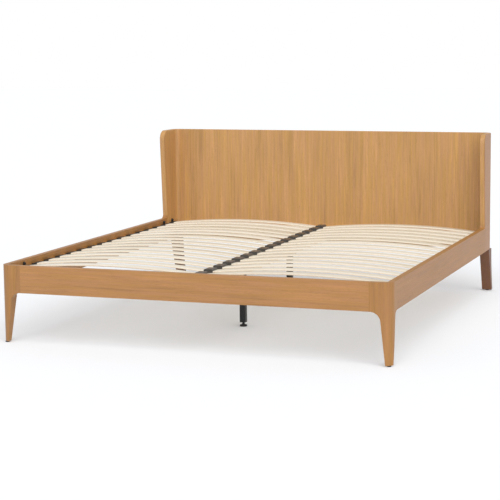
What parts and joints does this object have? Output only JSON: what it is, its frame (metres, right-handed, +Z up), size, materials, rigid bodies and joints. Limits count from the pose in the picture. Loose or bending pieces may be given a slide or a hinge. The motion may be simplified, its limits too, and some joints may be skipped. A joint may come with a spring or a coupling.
{
  "type": "bed frame",
  "caption": "Low wooden double bed frame with a bent headboard that wraps its corners, tapered legs, and bowed slats in black caps on a centre beam with screw feet.",
  "frame": {"origin": "on the floor under the middle of the bed", "axes": "+X to the right seen from the foot, +Y along the bed from the foot rail to the headboard, +Z up"},
  "size_m": [1.93, 2.17, 0.893],
  "materials": {
    "oak_veneer": "satin lacquered oak veneer, upright grain",
    "oak_rail": "satin lacquered oak, grain along the board",
    "oak_leg": "satin lacquered oak, upright grain",
    "pine": "planed pine",
    "birch": "lacquered bent birch ply",
    "cap_plastic": "moulded, fine grain",
    "foot_plastic": "moulded, smooth",
    "black_steel": "black powder coat",
    "zinc_steel": "zinc plated"
  },
  "bodies": {
    "frame": {"beam_hanger_foot": "zinc_steel", "beam_hanger_head": "zinc_steel", "centre_beam": "pine", "centre_caps": "cap_plastic", "foot_rail": "oak_rail", "front_leg_left": "oak_leg", "front_leg_right": "oak_leg", "headboard_cross_rail": "pine", "headboard_shell": "oak_veneer", "joint_bolts": "black_steel", "joint_plates": "black_steel", "leg_glides": "foot_plastic", "rear_leg_left": "oak_leg", "rear_leg_right": "oak_leg", "side_caps": "cap_plastic", "side_ledger_left": "pine", "side_ledger_right": "pine", "side_rail_left": "oak_rail", "side_rail_right": "oak_rail", "slat_left_01": "birch", "slat_left_02": "birch", "slat_left_03": "birch", "slat_left_04": "birch", "slat_left_05": "birch", "slat_left_06": "birch", "slat_left_07": "birch", "slat_left_08": "birch", "slat_left_09": "birch", "slat_left_10": "birch", "slat_left_11": "birch", "slat_left_12": "birch", "slat_left_13": "birch", "slat_left_14": "birch", "slat_left_15": "birch", "slat_left_16": "birch", "slat_right_01": "birch", "slat_right_02": "birch", "slat_right_03": "birch", "slat_right_04": "birch", "slat_right_05": "birch", "slat_right_06": "birch", "slat_right_07": "birch", "slat_right_08": "birch", "slat_right_09": "birch", "slat_right_10": "birch", "slat_right_11": "birch", "slat_right_12": "birch", "slat_right_13": "birch", "slat_right_14": "birch", "slat_right_15": "birch", "slat_right_16": "birch", "support_leg_bolts": "zinc_steel", "support_leg_front": "black_steel", "support_leg_plugs": "foot_plastic", "support_leg_rear": "black_steel", "wood_screws": "zinc_steel"},
    "front_screw": {"foot_stud_front": "black_steel"},
    "front_pad": {"foot_pad_front": "foot_plastic"},
    "rear_screw": {"foot_stud_rear": "black_steel"},
    "rear_pad": {"foot_pad_rear": "foot_plastic"}
  },
  "joints": [
    {"name": "front_foot_screw", "type": "slide", "parent": "frame", "child": "front_screw", "axis": [0, 0, -1], "range_m": [-0.003, 0.012]},
    {"name": "front_pad_turn", "type": "hinge", "parent": "front_screw", "child": "front_pad", "pos_m": [0, -0.36167, 0.005], "axis": [0, 0, 1], "continuous": true},
    {"name": "rear_foot_screw", "type": "slide", "parent": "frame", "child": "rear_screw", "axis": [0, 0, -1], "range_m": [-0.003, 0.012]},
    {"name": "rear_pad_turn", "type": "hinge", "parent": "rear_screw", "child": "rear_pad", "pos_m": [0, 0.36167, 0.005], "axis": [0, 0, 1], "continuous": true}
  ]
}
